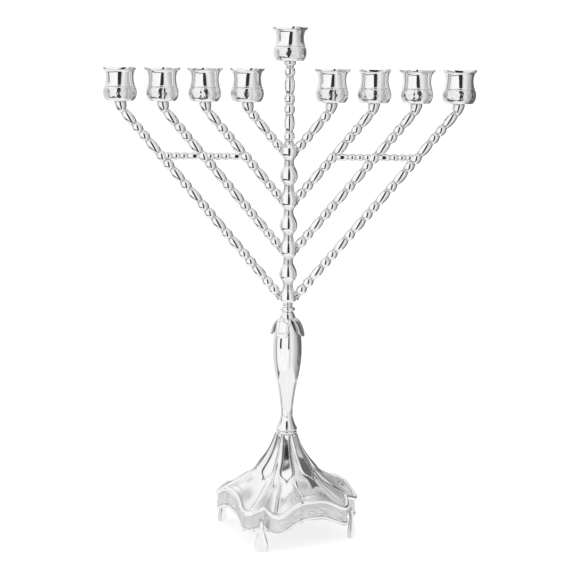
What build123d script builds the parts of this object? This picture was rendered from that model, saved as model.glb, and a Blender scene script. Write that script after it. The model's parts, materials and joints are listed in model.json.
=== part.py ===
"""Nine-branch candelabrum (hanukkah menorah) in silver-plated brass, in millimetres.

Four lobed feet carry a draped, four-cornered hollow base. A flared collar, a tapering vase and a
four-petal calyx stand on it, with a turned column of balls above. Eight straight beaded branches
leave the column in four parallel pairs and end at one height; a beaded shaft carries the taller
ninth cup. Short beaded bars tie the three outer branches of each side together. One threaded rod
clamps the whole column to the base, and every candle cup is held by its own screw.

Frame: origin on the table under the column, +X along the row of cups, +Z up. The base is turned
about Z by BASE_TURN against the row of cups.
"""
from build123d import *
from math import cos, degrees, exp, hypot, pi, radians, sin
import os

# ---- driving dimensions -------------------------------------------------------------------
CUP_PITCH = 29.6            # spacing of the cups along X
BRANCH_RISE = 35.0          # spacing of the branch junctions along Z
TOP_JUNCTION_Z = 278.7      # centre of the highest junction ball
PAIRS = 4                   # pairs of branches
CUP_SEAT_Z = 311.4          # underside of the eight side cups
SHAMASH_SEAT_Z = 339.8      # underside of the middle cup
BASE_TOP_Z = 73.3           # top face of the base
BASE_TURN = -19.5           # degrees, base against the row of cups

# cup
CUP_HEIGHT = 23.2
WELL_R = 8.0                # straight candle well
WELL_FLOOR = 4.5
WELL_TOP = 15.5
MOUTH_R = 10.7              # inside of the flared mouth
CUP_TURNS = (38, 12, -6, 24, 8, 47, -10, 52, 17)  # degrees about Z, side cups left to right, then the middle

# cup screw, M3 with a low cheese head
SCREW_R = 1.5
SCREW_HEAD_R = 2.75
SCREW_HEAD_H = 1.9
SCREW_REACH = 6.5           # shank below the cup's seat
COUNTERBORE_R = 3.0
COUNTERBORE_FLOOR = 2.3
RUN_CLEAR = 0.05            # radial clearance of a screw or rod in its hole

# beaded rods
ROUND_LEN, ROUND_R = 7.28, 3.7
OLIVE_LEN, OLIVE_R = 11.58, 3.55
NECK_R = 2.25
NECK_DROP = 4.2             # the branch's line meets the cup's axis this far below the seat
BELL_TOP_R = 4.35
BELL_DEPTH = 7.4
BELL_LEAN = 19.0            # degrees, bell against the cup's axis
# outline (radius, z) of a bell about a seat at z = 0; what stands above the seat is cut off after leaning
BELL_OUTLINE = [(NECK_R, -BELL_DEPTH), (3.55, -5.55), (3.6, -3.33), (BELL_TOP_R, -1.2), (BELL_TOP_R, 2.0)]
BEAD_GAP = 3.6              # the first bead starts this far down the line from the cup's axis
CORE_R = NECK_R + 0.3       # thicker core where a rod enters its bell

# beads of the branches, from the cup down to the column: o is a round bead, O an olive
BEADS = {
    1: "oOoo",
    2: "OooOooOoo",
    3: "OooOooOoOooOoo",
    4: "OooOooOoOooOoOooOoo",
}
SHAFT_BEADS = "oOooOo"      # middle shaft, from the top junction up
BAR_BEADS = "oooO"          # tie bars, from the outer end inwards
BAR_SCALE = 0.75            # tie bars are slimmer than the branches
BAR_Z = 273.4

# column
BALL_R = 6.35
BALL_HALF = BRANCH_RISE / 4  # half height of each ball with its necks
TOP_BALL_UP = 5.3           # the top ball's upper neck is shorter
LOW_BALL_DOWN = 6.4         # and so is the lowest ball's lower neck
COLUMN_NECK_R = 3.35
# (radius, share of the way to the end of the neck) of a ball above and below its middle
BALL_ABOVE = [(BALL_R - 0.3, 0.27), (4.8, 0.6), (COLUMN_NECK_R + 0.3, 0.85), (COLUMN_NECK_R, 1.0)]
BALL_BELOW = [(BALL_R - 0.25, 0.26), (4.9, 0.6), (COLUMN_NECK_R + 0.25, 0.84), (COLUMN_NECK_R, 1.0)]
SHAFT_FOOT_H = 1.4          # disc at the foot of the middle shaft
ROD_R = 2.0                 # M4 tie rod
ROD_TOP_Z = TOP_JUNCTION_Z + 16.0

WASHER_H, WASHER_R = 1.0, 4.5
NUT_H, NUT_R = 3.2, 4.0
ROD_TAIL = 2.0              # rod end below the nut

# collar, vase and calyx; outlines run up the outside as (radius, z), vase levels as (z, radius, lobing)
COLLAR_BOTTOM_Z = BASE_TOP_Z + 2.6
COLLAR_R = 7.9
COLLAR_LIP = 1.2            # height of the collar's upright lip
COLLAR_TOP_Z = 86.0
COLLAR_OUTLINE = [(COLLAR_R, COLLAR_BOTTOM_Z + COLLAR_LIP), (6.7, 79.2), (5.4, 82.2), (4.4, COLLAR_TOP_Z)]
RING_R = 7.6
VASE_TOP_Z = 156.5
VASE_LEVELS = [
    (COLLAR_TOP_Z, 4.5, 0.0), (90, 4.7, 0.0), (97, 5.05, 0.0), (105, 6.0, 0.0), (112.5, 7.8, 0.0),
    (118, 8.9, 0.02), (125, 9.9, 0.04), (133, 10.4, 0.05), (141, 10.2, 0.05), (147, 9.3, 0.03),
    (152, 8.0, 0.0), (VASE_TOP_Z, 5.8, 0.0),
]
PETALS = 4
KNOP_BOTTOM_Z = 162.7
# (radius, share of the rise) of the knop
KNOP_OUTLINE = [(3.9, 0.0), (4.9, 0.18), (5.4, 0.45), (4.7, 0.75), (COLUMN_NECK_R, 1.0)]
BULB_OUTLINE = [(5.2, VASE_TOP_Z), (5.9, 158.0), (5.2, 160.2), (4.1, KNOP_BOTTOM_Z)]
PETAL_OUTSIDE = [(12.0, 146.2), (11.3, 149.6), (10.1, 153.5), (8.2, 157.0), (5.4, 159.4)]
PETAL_INSIDE = [(10.9, 145.7), (10.2, 149.2), (9.0, 152.9), (7.2, 156.0), (4.6, 158.1)]
# outline of a petal along +X, seen from above
PETAL_LEAF = [(2, -4.6), (8, -6.6), (12.2, -4.0), (14.4, 0), (12.2, 4.0), (8, 6.6), (2, 4.6)]

# base
SHELL = 1.8
BASE_NECK_R = 7.8           # radius of the base's top face
EDGE_SIDE_R, EDGE_LOBE_R = 44.9, 52.0
RIM_SIDE_Z, RIM_LOBE_Z = 35.8, 27.2
LOBE_AT = 13.0              # degrees between a corner and the lobes beside it
LOBE_SPAN, RIM_SPAN = 12.0, 14.0    # degrees over which the outline and the rim fall away from a lobe
APRON_BOTTOM_Z = 12.7
ARCH_RISE, ARCH_SPAN = 7.8, 54.0
CAP_UNDERSIDE = 65.0        # where the washer bears inside the base
OUTSIDE_HEIGHTS = [APRON_BOTTOM_Z, 20, 24, 27, 28.5, 30, 31.5, 33, 34.5, 36, 38, 40, 42.5, 45.5, 49, 53,
                   58, 63, 68, BASE_TOP_Z]
INSIDE_HEIGHTS = [APRON_BOTTOM_Z - 1, 20, 24, 26, 28, 30, 32, 34, 36, 38, 41, 44, 48, 53, 59, CAP_UNDERSIDE]
FOOT_REACH = 50.3           # distance of each foot from the axis
FOOT_LEAN = 0.08            # the feet lean in towards the axis as they rise
# height, half thickness, half width of a foot
FOOT_LEVELS = [
    (0.0, 2.6, 4.0), (0.9, 3.1, 5.0), (3.2, 3.2, 5.5), (7.5, 2.7, 4.3), (12.0, 2.1, 2.7),
    (17.0, 1.8, 1.9), (21.0, 1.6, 1.7),
]
OUTLINE_POINTS = 32         # points round a cup's or the vase's outline
BASE_POINTS = 96

OUT = "parts"
os.makedirs(OUT, exist_ok=True)


def save(shape, name):
    """Write one sub-part to its own STEP file."""
    shape.label = name
    export_step(shape, f"{OUT}/{name}.step")


def turned(points):
    """Solid of revolution about Z. points run up the outside as (radius, z)."""
    outside = Spline(*points)
    (r0, z0), (r1, z1) = points[0], points[-1]
    axis_side = Polyline((r1, z1), (0, z1), (0, z0), (r0, z0))
    return revolve(Plane.XZ * make_face(outside + axis_side), Axis.Z)


def drill(radius, z0, z1):
    """Cylinder about Z from z0 to z1, to cut a hole or make a pin."""
    return Pos(0, 0, (z0 + z1) / 2) * Cylinder(radius, z1 - z0)


def ring_face(radius_at, z, count):
    """Flat face at height z whose closed outline is radius_at(angle)."""
    corners = []
    for i in range(count):
        a = 2 * pi * i / count
        r = radius_at(a)
        corners.append((r * cos(a), r * sin(a), z))
    return make_face(Spline(*corners, periodic=True))


# ---- beaded rods --------------------------------------------------------------------------
def bead_rod(kinds, scale=1.0):
    """Beads threaded one after another up the Z axis from z = 0. Returns (solid, length)."""
    z = 0.0
    outline = []
    for kind in kinds:
        length, radius = (ROUND_LEN, ROUND_R) if kind == "o" else (OLIVE_LEN, OLIVE_R)
        length, radius, neck = length * scale, radius * scale, NECK_R * scale
        outline.append(ThreePointArc((neck, z), (radius, z + length / 2), (neck, z + length)))
        z += length
    neck = NECK_R * scale
    outline.append(Polyline((neck, z), (0, z), (0, 0), (neck, 0)))
    return revolve(Plane.XZ * make_face(Curve() + outline), Axis.Z), z


def bell(side):
    """Bell under a side cup, leaning towards its branch, its flat top at z = 0."""
    below = Pos(0, 0, -BELL_DEPTH) * Box(4 * BELL_TOP_R, 4 * BELL_TOP_R, 2 * BELL_DEPTH)
    return (Rot(0, side * BELL_LEAN, 0) * turned(BELL_OUTLINE)) & below


def screw_hole(seat_z):
    """Blind hole for a cup screw below a seat."""
    return drill(SCREW_R + RUN_CLEAR, seat_z - SCREW_REACH - 0.8, seat_z + 1)


def junction_z(pair):
    """Height of a pair's junction ball; pair 1 is the inner pair, joined highest."""
    return TOP_JUNCTION_Z - (pair - 1) * BRANCH_RISE


def branch(pair, side):
    """One branch: bell under the cup and a straight beaded rod down to its junction ball."""
    x = side * pair * CUP_PITCH
    line_z = CUP_SEAT_Z - NECK_DROP
    lean = hypot(CUP_PITCH, BRANCH_RISE)
    ux, uz = side * CUP_PITCH / lean, BRANCH_RISE / lean
    rod, length = bead_rod(BEADS[pair][::-1])
    low = length + BEAD_GAP
    start = Plane(origin=(x - ux * low, 0, line_z - uz * low), x_dir=(0, 1, 0), z_dir=(ux, 0, uz))
    tenon = drill(NECK_R, -BALL_R, 0.1)
    collar_pin = drill(CORE_R, length - 0.8, length + BEAD_GAP - 1.0)
    body = start * (rod + tenon + collar_pin)
    body += Pos(x, 0, CUP_SEAT_Z) * bell(side)
    body -= Pos(x, 0, 0) * screw_hole(CUP_SEAT_Z)
    return body - ball_solid(junction_z(pair))


def ball_solid(z):
    """One turned ball of the column with its half necks, undrilled."""
    down = LOW_BALL_DOWN if z == junction_z(PAIRS) else BALL_HALF
    up = TOP_BALL_UP if z == TOP_JUNCTION_Z else BALL_HALF
    below = [(r, z - share * down) for r, share in BALL_BELOW]
    above = [(r, z + share * up) for r, share in BALL_ABOVE]
    return turned(below[::-1] + [(BALL_R, z)] + above)


def column_ball(z):
    """One turned ball of the column, drilled for the tie rod."""
    return ball_solid(z) - rod_bore(z - BALL_HALF - 1, z + BALL_HALF + 1)


def middle_shaft():
    """Beaded shaft from the top ball to the middle cup, with a blind hole for the tie rod."""
    z0 = TOP_JUNCTION_Z + TOP_BALL_UP
    rod, length = bead_rod(SHAFT_BEADS)
    cap_depth = SHAMASH_SEAT_Z - z0 - length
    cap = turned([
        (NECK_R, z0 + length), (3.1, z0 + length + cap_depth * 0.35),
        (BELL_TOP_R, SHAMASH_SEAT_Z - 1.1), (BELL_TOP_R - 0.1, SHAMASH_SEAT_Z),
    ])
    foot = drill(COLUMN_NECK_R, z0, z0 + SHAFT_FOOT_H)
    body = Pos(0, 0, z0) * rod + cap + foot
    body -= rod_bore(z0 - 1, ROD_TOP_Z + 0.5)
    return body - screw_hole(SHAMASH_SEAT_Z)


def bar(side, inner_pair):
    """Tie bar between two neighbouring branches, trimmed to their beads."""
    drop = CUP_SEAT_Z - NECK_DROP - BAR_Z
    x_out = side * ((inner_pair + 1) * CUP_PITCH - drop * CUP_PITCH / BRANCH_RISE)
    rod, length = bead_rod(BAR_BEADS, BAR_SCALE)
    margin = (CUP_PITCH - length) / 2
    along = Plane(origin=(x_out, 0, BAR_Z), x_dir=(0, 1, 0), z_dir=(-side, 0, 0))
    core = drill(NECK_R * BAR_SCALE + 0.3, 0, CUP_PITCH)
    return along * (Pos(0, 0, margin) * rod + core)


# ---- cups ---------------------------------------------------------------------------------
def cup_radius(level, angle):
    """Outside radius of the cup at a level: a four-lobed bowl, a round waist, a four-point rim."""
    mean, lobe, rim = level
    return mean * (1 + lobe * (abs(sin(2 * angle)) - 0.64) + rim * (abs(cos(2 * angle)) ** 3 - 0.42))


# height, mean radius, lobing of the bowl, pointing of the rim
CUP_LEVELS = [
    (0.0, 6.6, 0.08, 0.0), (0.9, 9.2, 0.10, 0.0), (3.0, 11.0, 0.10, 0.0), (5.6, 11.6, 0.08, 0.0),
    (8.4, 11.3, 0.06, 0.0), (10.6, 10.7, 0.03, 0.0), (13.2, 10.0, 0.0, 0.0), (16.2, 9.75, 0.0, 0.01),
    (19.4, 10.2, 0.0, 0.03), (21.8, 11.1, 0.0, 0.08), (CUP_HEIGHT, 11.7, 0.0, 0.12),
]


def cup():
    """Candle cup about Z with its seat at z = 0."""
    faces = []
    for z, mean, lobe, rim in CUP_LEVELS:
        faces.append(ring_face(lambda a, lv=(mean, lobe, rim): cup_radius(lv, a), z, OUTLINE_POINTS))
    body = loft(faces)
    hollow = revolve(Plane.XZ * make_face(
        Polyline((0, WELL_FLOOR), (WELL_R, WELL_FLOOR), (WELL_R, WELL_TOP))
        + Spline((WELL_R, WELL_TOP), (8.5, WELL_TOP + 3.6), (MOUTH_R, CUP_HEIGHT + 0.01),
                 tangents=((0, 1), (0.7, 1)))
        + Polyline((MOUTH_R, CUP_HEIGHT + 0.01), (MOUTH_R, CUP_HEIGHT + 2),
                   (0, CUP_HEIGHT + 2), (0, WELL_FLOOR))), Axis.Z)
    body -= hollow
    body -= drill(COUNTERBORE_R, COUNTERBORE_FLOOR, WELL_FLOOR + 1)
    return body - drill(SCREW_R + RUN_CLEAR, -1, COUNTERBORE_FLOOR + 1)


def cup_screw():
    """Screw of a cup, for a cup with its seat at z = 0: head in the counterbore, slot on top."""
    head_top = COUNTERBORE_FLOOR + SCREW_HEAD_H
    body = drill(SCREW_HEAD_R, COUNTERBORE_FLOOR, head_top) + drill(SCREW_R, -SCREW_REACH, COUNTERBORE_FLOOR)
    return body - Pos(0, 0, head_top) * Box(2 * SCREW_HEAD_R + 1, 0.8, 1.6)


# ---- stem ---------------------------------------------------------------------------------
def rod_bore(z0, z1):
    """Clearance hole for the tie rod."""
    return drill(ROD_R + RUN_CLEAR, z0, z1)


def vase():
    """Tapering vase, slightly four-lobed below the calyx."""
    faces = [ring_face(lambda a, m=m, k=k: m * (1 - k * cos(PETALS * (a - radians(BASE_TURN)))), z,
                       OUTLINE_POINTS)
             for z, m, k in VASE_LEVELS]
    return loft(faces) - rod_bore(COLLAR_TOP_Z - 1, VASE_TOP_Z + 1)


def collar():
    """Flared collar between base and vase."""
    body = turned(COLLAR_OUTLINE)
    body += drill(COLLAR_R, COLLAR_BOTTOM_Z, COLLAR_BOTTOM_Z + COLLAR_LIP)
    return body - rod_bore(COLLAR_BOTTOM_Z - 1, COLLAR_TOP_Z + 1)


def collar_ring():
    """Flat ring that the collar stands on."""
    body = drill(RING_R, BASE_TOP_Z, COLLAR_BOTTOM_Z)
    body = fillet(body.edges().filter_by(GeomType.CIRCLE), 0.5)
    return body - rod_bore(BASE_TOP_Z - 1, COLLAR_BOTTOM_Z + 1)


def neck_knop():
    """Small knop under the lowest junction ball."""
    low = KNOP_BOTTOM_Z
    high = junction_z(PAIRS) - LOW_BALL_DOWN
    body = turned([(r, low + share * (high - low)) for r, share in KNOP_OUTLINE])
    return body - rod_bore(low - 1, high + 1)


def calyx(vase_body):
    """Bulb with four pointed petals that fold down over the vase's shoulder."""
    body = turned(BULB_OUTLINE)
    for i in range(PETALS):
        body += Rot(0, 0, BASE_TURN - 90 + 90 * i) * petal()
    body -= vase_body
    return body - rod_bore(PETAL_INSIDE[0][1], KNOP_BOTTOM_Z + 1)


def petal():
    """One drooping petal along +X, cut from a thin bell by a leaf outline."""
    outline = make_face(Spline(*PETAL_LEAF) + Line(PETAL_LEAF[-1], PETAL_LEAF[0]))
    leaf = extrude(Pos(0, 0, PETAL_INSIDE[0][1] - 1) * outline, KNOP_BOTTOM_Z - PETAL_INSIDE[0][1])
    return (turned(PETAL_OUTSIDE) - turned(PETAL_INSIDE)) & leaf


# ---- base ---------------------------------------------------------------------------------
# share of the way up from the rim, share of the way out to the edge
DRAPE = [
    (0.0, 1.0), (0.04, 0.96), (0.08, 0.90), (0.14, 0.74), (0.25, 0.53), (0.38, 0.36), (0.5, 0.25),
    (0.64, 0.16), (0.8, 0.075), (0.9, 0.035), (1.0, 0.0),
]


def from_corner(angle):
    """Degrees to the nearest corner, rounded off at the corner itself."""
    off = (angle + pi / 4) % (pi / 2) - pi / 4
    return hypot(degrees(off), 2.0)


def edge_radius(angle):
    """Plan outline: a lobe on each side of every corner, hollow sides between."""
    lobe = exp(-((from_corner(angle) - LOBE_AT) / LOBE_SPAN) ** 2)
    return EDGE_SIDE_R + (EDGE_LOBE_R - EDGE_SIDE_R) * lobe


def rim_height(angle):
    """Height at which the drape turns down into the apron: low at the lobes, high between corners."""
    return RIM_SIDE_Z - (RIM_SIDE_Z - RIM_LOBE_Z) * exp(-((from_corner(angle) - LOBE_AT) / RIM_SPAN) ** 2)


def drape_share(height):
    """Share of the way out to the edge at a share of the way up."""
    for (h0, s0), (h1, s1) in zip(DRAPE, DRAPE[1:]):
        if height <= h1:
            return s0 + (s1 - s0) * max(0.0, height - h0) / (h1 - h0)
    return DRAPE[-1][1]


def base_radius(angle, z, inset=0.0):
    """Radius of the base at an angle from a corner and a height."""
    rim = rim_height(angle)
    share = drape_share((z - rim) / (BASE_TOP_Z - rim))
    return BASE_NECK_R + (edge_radius(angle) - BASE_NECK_R) * share - inset


def base_shell():
    """Hollow draped base with an arched apron, drilled at the top for the tie rod."""
    turn = radians(BASE_TURN - 90)
    outside = loft([ring_face(lambda a, z=z: base_radius(a - turn, z), z, BASE_POINTS)
                    for z in OUTSIDE_HEIGHTS], ruled=True)
    inside = loft([ring_face(lambda a, z=z: base_radius(a - turn, z + SHELL * 0.6, SHELL), z, BASE_POINTS)
                   for z in INSIDE_HEIGHTS], ruled=True)
    body = outside - inside
    arch_r = (ARCH_SPAN ** 2 / 4 + ARCH_RISE ** 2) / (2 * ARCH_RISE)
    for i in range(2):
        tunnel = Rot(0, 0, BASE_TURN + 45 + 90 * i) * Rot(0, 90, 0) * Cylinder(arch_r, 3 * EDGE_LOBE_R)
        body -= Pos(0, 0, APRON_BOTTOM_Z + ARCH_RISE - arch_r) * tunnel
    return body - drill(ROD_R + 0.2, CAP_UNDERSIDE - 1, BASE_TOP_Z + 1)


def foot():
    """Lobed hoof-like foot along +X under a corner, before trimming to the apron."""
    faces = [Pos(FOOT_REACH - FOOT_LEAN * z, 0, z) * make_face(Ellipse(rx, ry).edges())
             for z, rx, ry in FOOT_LEVELS]
    return loft(faces)


# ---- make and write every piece -----------------------------------------------------------
vase_body = vase()
save(vase_body, "stem_vase")
save(calyx(vase_body), "leaf_calyx")
save(collar(), "stem_collar")
save(collar_ring(), "collar_ring")
save(neck_knop(), "neck_knop")
save(middle_shaft(), "middle_shaft")

for number in range(2 * PAIRS - 1):
    z = TOP_JUNCTION_Z - number * BRANCH_RISE / 2
    kind = "junction_ball" if number % 2 == 0 else "spacer_ball"
    save(column_ball(z), f"{kind}_{number // 2 + 1}")

branches = {}
for side in (-1, 1):
    for pair in range(1, PAIRS + 1):
        place = PAIRS + 1 - pair if side < 0 else PAIRS + pair
        branches[side, pair] = branch(pair, side)
        save(branches[side, pair], f"branch_{place}")

for side, name in ((-1, "left"), (1, "right")):
    for inner, where in ((3, "outer"), (2, "inner")):
        tie = bar(side, inner) - branches[side, inner] - branches[side, inner + 1]
        save(tie.solids().sort_by(SortBy.VOLUME)[-1], f"tie_bar_{name}_{where}")

one_cup, one_screw = cup(), cup_screw()
cup_columns = [column for column in range(-PAIRS, PAIRS + 1) if column != 0]
for number, (column, turn) in enumerate(zip(cup_columns, CUP_TURNS), 1):
    seat = Pos(column * CUP_PITCH, 0, CUP_SEAT_Z) * Rot(0, 0, turn)
    save(seat * one_cup, f"candle_cup_{number}")
    save(seat * one_screw, f"cup_screw_{number}")
middle_seat = Pos(0, 0, SHAMASH_SEAT_Z) * Rot(0, 0, CUP_TURNS[-1])
save(middle_seat * one_cup, "shamash_cup")
save(middle_seat * one_screw, "shamash_screw")

shell = base_shell()
save(shell, "base_shell")
for i, name in enumerate(("front", "right", "back", "left")):
    turned_foot = Rot(0, 0, BASE_TURN - 90 + 90 * i) * foot()
    save((turned_foot - shell).solids().sort_by(SortBy.VOLUME)[-1], f"foot_{name}")

washer_z = CAP_UNDERSIDE - WASHER_H
nut_z = washer_z - NUT_H
save(drill(ROD_R, nut_z - ROD_TAIL, ROD_TOP_Z), "tie_rod")
nut_bore = rod_bore(nut_z - 1, CAP_UNDERSIDE + 1)
save(drill(WASHER_R, washer_z, CAP_UNDERSIDE) - nut_bore, "rod_washer")
hexagon = extrude(Pos(0, 0, nut_z) * RegularPolygon(NUT_R, 6), NUT_H)
save(hexagon - nut_bore, "rod_nut")
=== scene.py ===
"""Looks of a nine-branch silver-plated Hanukkah menorah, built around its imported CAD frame.

Lengths in the tables below are millimetres; MM turns them into the scene's metres.
"""
import json
from math import atan2, cos, hypot, pi, radians, sin

import bpy
import numpy as np
from mathutils import Matrix, Vector

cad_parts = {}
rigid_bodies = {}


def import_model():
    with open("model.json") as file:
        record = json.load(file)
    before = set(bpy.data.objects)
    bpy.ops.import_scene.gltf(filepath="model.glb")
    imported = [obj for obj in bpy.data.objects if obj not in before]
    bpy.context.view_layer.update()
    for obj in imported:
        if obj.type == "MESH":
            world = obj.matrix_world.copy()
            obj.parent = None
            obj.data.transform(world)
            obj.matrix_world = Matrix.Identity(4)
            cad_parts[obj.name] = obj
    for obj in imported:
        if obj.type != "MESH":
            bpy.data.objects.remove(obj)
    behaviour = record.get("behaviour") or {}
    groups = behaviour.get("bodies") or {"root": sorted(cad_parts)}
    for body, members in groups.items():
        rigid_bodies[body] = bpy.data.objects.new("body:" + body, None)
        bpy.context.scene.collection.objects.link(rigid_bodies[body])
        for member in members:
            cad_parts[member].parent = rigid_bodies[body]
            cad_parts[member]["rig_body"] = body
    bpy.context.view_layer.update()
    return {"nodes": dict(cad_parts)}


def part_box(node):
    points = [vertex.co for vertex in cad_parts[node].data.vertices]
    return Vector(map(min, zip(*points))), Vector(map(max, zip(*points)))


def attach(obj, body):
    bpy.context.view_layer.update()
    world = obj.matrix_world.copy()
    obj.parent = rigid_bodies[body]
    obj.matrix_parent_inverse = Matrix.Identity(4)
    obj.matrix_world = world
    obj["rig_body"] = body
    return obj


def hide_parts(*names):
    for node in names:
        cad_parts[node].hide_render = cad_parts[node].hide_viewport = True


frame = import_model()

MM = 0.001

# ---- places, from the frame ------------------------------------------------------------------
PAIRS = 4
SIDE_CUPS = [f"candle_cup_{number}" for number in range(1, 2 * PAIRS + 1)]


def centre(node):
    """Middle of a CAD node's box, in millimetres."""
    low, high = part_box(node)
    return (low + high) / 2 / MM


def bottom(node):
    """Lowest height of a CAD node, in millimetres."""
    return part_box(node)[0].z / MM


def top(node):
    """Highest point of a CAD node, in millimetres."""
    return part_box(node)[1].z / MM


CUP_PITCH = (centre(SIDE_CUPS[-1]).x - centre(SIDE_CUPS[0]).x) / (2 * PAIRS)
CUP_SEAT_Z = bottom(SIDE_CUPS[0])
SHAMASH_SEAT_Z = bottom("shamash_cup")
BRANCH_RISE = (bottom("junction_ball_1") - bottom("junction_ball_3")) / 2
BALL_HALF = BRANCH_RISE / 4
TOP_JUNCTION_Z = bottom("junction_ball_1") + BALL_HALF
BASE_TURN = atan2(centre("foot_front").y, centre("foot_front").x)
FOOT_REACH = hypot(centre("foot_front").x, centre("foot_front").y)
BRANCH_LEAN = atan2(CUP_PITCH, BRANCH_RISE)

# ---- sizes of the visible shapes ----------------------------------------------------------------
NECK_DROP = 4.2                 # the branch's line meets the cup's axis this far below the seat
BEAD_GAP = 3.6                  # first bead below the bell, along the line
BEAD_SIZES = {"o": (7.28, 3.75), "O": (11.58, 3.65)}    # length, radius of round beads and olives
BEAD_NECK_R = 2.55
TENON_LENGTH = 3.6              # reach of a branch's end into its junction ball
BAR_END_GAP = 0.8               # a tie bar ends this far from the middle of each branch
BEADS = {1: "oOoo", 2: "OooOooOoo", 3: "OooOooOoOooOoo", 4: "OooOooOoOooOoOooOoo"}
SHAFT_BEADS = "oOooOo"
SHAFT_SCALE = 1.05              # its beads are a little thicker than a branch's
BAR_BEADS = "oooO"
BAR_SCALE = 0.75
BALL_R, BALL_NECK_R = 6.45, 3.5

CUP_TURNS = (38, 12, -6, 24, 8, 47, -10, 52)        # degrees about Z, left to right
SHAMASH_TURN = 17

# light tent: (bearing, grey) along its walls and roof. Bearings and heights are degrees; a bearing is 0
# towards the camera and negative to the left.
TENT_WALLS = [(-180, 0.92), (-150, 0.90), (-120, 0.80), (-102, 0.68), (-90, 0.25), (-84, 0.25), (-79, 1.0),
              (-13, 1.05), (-7, 0.04), (0, 0.02), (14, 0.03), (21, 0.80), (38, 0.93), (54, 0.74), (70, 0.58),
              (87, 0.45), (107, 0.36), (126, 0.22), (142, 0.18), (160, 0.50), (180, 0.92)]
TENT_ROOF = [(-180, 0.80), (-140, 0.95), (-100, 1.0), (0, 1.0), (30, 0.92), (60, 0.82), (100, 0.72),
             (140, 0.70), (180, 0.80)]
TENT_EAVES = 44                 # height at which the walls turn into the roof
SLIT_BEARINGS, SLIT_HEIGHTS = (-9, 16), (-20, 50)   # dark opening that the camera looks through
SEAM_HEIGHTS, SEAM_TILT = (51, 55.5), 0.2           # dark line in the roof, falling to the right
SILL_HEIGHTS, SILL_TILT = (-52, -39), 0.14          # dark line where the white wall ends
FLOOR_HEIGHT = -50              # the floor round the plinth starts this far down

CAMERA_AT = (0, -0.931, 0.3344)                     # metres: level with the rims of the side cups
CAMERA_AIM = (0.0016, 0, 0.1784)
CAMERA_ROLL = radians(0.55)
CAMERA_LENS = 81.9

BEAD_ROWS, BEAD_COLUMNS = 17, 40
SHAFT_COLUMNS = 64
LATHE_COLUMNS = 96
CUP_COLUMNS = 224
BASE_COLUMNS = 960
DOME_ROWS, ROLL_ROWS, APRON_ROWS = 170, 18, 44
FOOT_COLUMNS = 72


# ---- mesh tools ---------------------------------------------------------------------------------
def curve_through(points, per_span=6):
    """Smooth curve through points of any dimension; a point given twice is a sharp corner."""
    runs, run = [], [np.array(points[0], float)]
    for point in points[1:]:
        point = np.array(point, float)
        if np.allclose(point, run[-1]):
            runs.append(run)
            run = [point]
        else:
            run.append(point)
    runs.append(run)
    line = [runs[0][0]]
    for run in [run for run in runs if len(run) > 1]:
        padded = [2 * run[0] - run[1]] + run + [2 * run[-1] - run[-2]]
        for k in range(1, len(padded) - 2):
            p0, p1, p2, p3 = padded[k - 1:k + 3]
            for i in range(1, per_span + 1):
                t = i / per_span
                line.append(0.5 * (2 * p1 + (p2 - p0) * t + (2 * p0 - 5 * p1 + 4 * p2 - p3) * t ** 2
                                   + (3 * p1 - p0 - 3 * p2 + p3) * t ** 3))
    return np.array(line)


def soft_step(value, low, high):
    """0 below low, 1 above high, smooth between. Works on arrays."""
    t = np.clip((value - low) / (high - low), 0, 1)
    return t * t * (3 - 2 * t)


def hill(value, width):
    """Bell-shaped bump, 1 at value 0."""
    return np.exp(-(value / width) ** 2)


def skin(name, rings, material, tarnish_and_painted_shade=0.0, closed=True):
    """Piece whose surface runs through rings, an array of (rings, points, 3) in millimetres.

    The argument after material is the darkening painted into the colour, 0 to 3: tarnish in hollows together
    with painted shade in necks, creases and under parts, and painted dark reflection lines; one number, one
    per ring or one per point. closed joins the ends with flat caps.
    """
    rows, columns, _ = rings.shape
    index = np.arange(rows * columns).reshape(rows, columns)
    beside = np.roll(index, -1, axis=1)
    quads = np.stack([index[:-1], beside[:-1], beside[1:], index[1:]], axis=-1).reshape(-1, 4)
    faces = quads.tolist()
    if closed:
        faces.append(index[0][::-1].tolist())
        faces.append(index[-1].tolist())
    mesh = bpy.data.meshes.new(name)
    mesh.from_pydata((rings.reshape(-1, 3) * MM).tolist(), [], faces)
    tarnish_and_painted_shade = np.asarray(tarnish_and_painted_shade, float)
    if tarnish_and_painted_shade.ndim == 1:
        tarnish_and_painted_shade = tarnish_and_painted_shade[:, None]
    spread = np.broadcast_to(tarnish_and_painted_shade, (rows, columns)).astype(np.float32)
    # painted shade and tarnish, stored per point for the silver's colour
    mesh.attributes.new("tarnish_and_shade", "FLOAT", "POINT").data.foreach_set("value", spread.ravel())
    mesh.polygons.foreach_set("use_smooth", [True] * len(mesh.polygons))
    mesh.update()
    mesh.set_sharp_from_angle(angle=radians(50))
    mesh.materials.append(material)
    piece = bpy.data.objects.new(name, mesh)
    bpy.context.scene.collection.objects.link(piece)
    return piece


def full_turn(columns):
    """Angles of evenly spaced points round a ring."""
    return np.linspace(0, 2 * pi, columns, endpoint=False)


def about_z(radius, angle, z):
    """Points at a radius and angle about Z; each argument is an array or one number for all."""
    radius, angle, z = np.broadcast_arrays(radius, angle, z)
    return np.stack([radius * np.cos(angle), radius * np.sin(angle), z], axis=-1)


def lathe(profile, columns=LATHE_COLUMNS):
    """Rings about Z for (radius, z) points."""
    return about_z(profile[:, :1], full_turn(columns), profile[:, 1:])


def moved(rings, matrix):
    """Rings carried by a matrix in millimetres."""
    turn = np.array(matrix.to_3x3())
    return rings @ turn.T + np.array(matrix.translation)


def stand_in_for(piece, node):
    """piece takes the place of a CAD node and rides on its body."""
    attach(piece, frame["nodes"][node]["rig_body"])
    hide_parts(node)


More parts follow.
